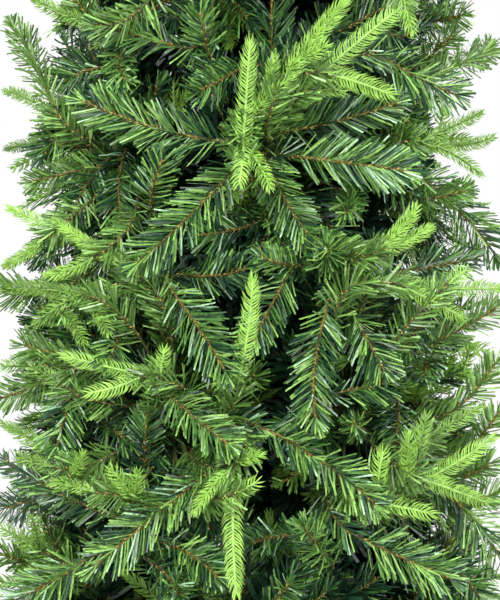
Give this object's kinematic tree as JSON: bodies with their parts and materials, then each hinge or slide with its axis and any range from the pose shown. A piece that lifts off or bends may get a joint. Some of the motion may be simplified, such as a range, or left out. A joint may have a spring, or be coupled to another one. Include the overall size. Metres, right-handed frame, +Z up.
{
  "type": "artificial christmas tree",
  "caption": "Slim artificial christmas tree: steel pole, wire boughs in tiers, dense mixed needle tips, and a folding metal stand with rubber boots.",
  "frame": {"origin": "on the floor under the pole, at the middle of the socket's flat underside", "axes": "+Z up along the pole to the leader's tip; -Y faces the viewer"},
  "size_m": [0.5253, 0.5328, 1.8],
  "materials": {
    "pole_paint": "satin dark green paint",
    "stand_paint": "satin dark green paint",
    "boot_rubber": "matt moulded rubber",
    "screw_zinc": "zinc plated",
    "bough_wrap": "green plastic film wound on wire",
    "needles": "cut film and moulded needles in mixed greens, slightly glossy"
  },
  "bodies": {
    "root": {"pole": "pole_paint", "stand_socket": "stand_paint", "stand_leg_1": "stand_paint", "stand_leg_2": "stand_paint", "stand_leg_3": "stand_paint", "stand_leg_4": "stand_paint", "stand_boot_1": "boot_rubber", "stand_boot_2": "boot_rubber", "stand_boot_3": "boot_rubber", "stand_boot_4": "boot_rubber", "thumbscrew_1": "screw_zinc", "thumbscrew_2": "screw_zinc", "thumbscrew_3": "screw_zinc", "bough_1_1": "bough_wrap", "bough_1_2": "bough_wrap", "bough_1_3": "bough_wrap", "bough_1_4": "bough_wrap", "bough_1_5": "bough_wrap", "bough_2_1": "bough_wrap", "bough_2_2": "bough_wrap", "bough_2_3": "bough_wrap", "bough_2_4": "bough_wrap", "bough_2_5": "bough_wrap", "bough_3_1": "bough_wrap", "bough_3_2": "bough_wrap", "bough_3_3": "bough_wrap", "bough_3_4": "bough_wrap", "bough_3_5": "bough_wrap", "bough_4_1": "bough_wrap", "bough_4_2": "bough_wrap", "bough_4_3": "bough_wrap", "bough_4_4": "bough_wrap", "bough_5_1": "bough_wrap", "bough_5_2": "bough_wrap", "bough_5_3": "bough_wrap", "bough_5_4": "bough_wrap", "needles_1_1": "needles", "needles_1_2": "needles", "needles_1_3": "needles", "needles_1_4": "needles", "needles_1_5": "needles", "needles_2_1": "needles", "needles_2_2": "needles", "needles_2_3": "needles", "needles_2_4": "needles", "needles_2_5": "needles", "needles_3_1": "needles", "needles_3_2": "needles", "needles_3_3": "needles", "needles_3_4": "needles", "needles_3_5": "needles", "needles_4_1": "needles", "needles_4_2": "needles", "needles_4_3": "needles", "needles_4_4": "needles", "needles_5_1": "needles", "needles_5_2": "needles", "needles_5_3": "needles", "needles_5_4": "needles", "needles_leader": "needles"}
  },
  "joints": []
}
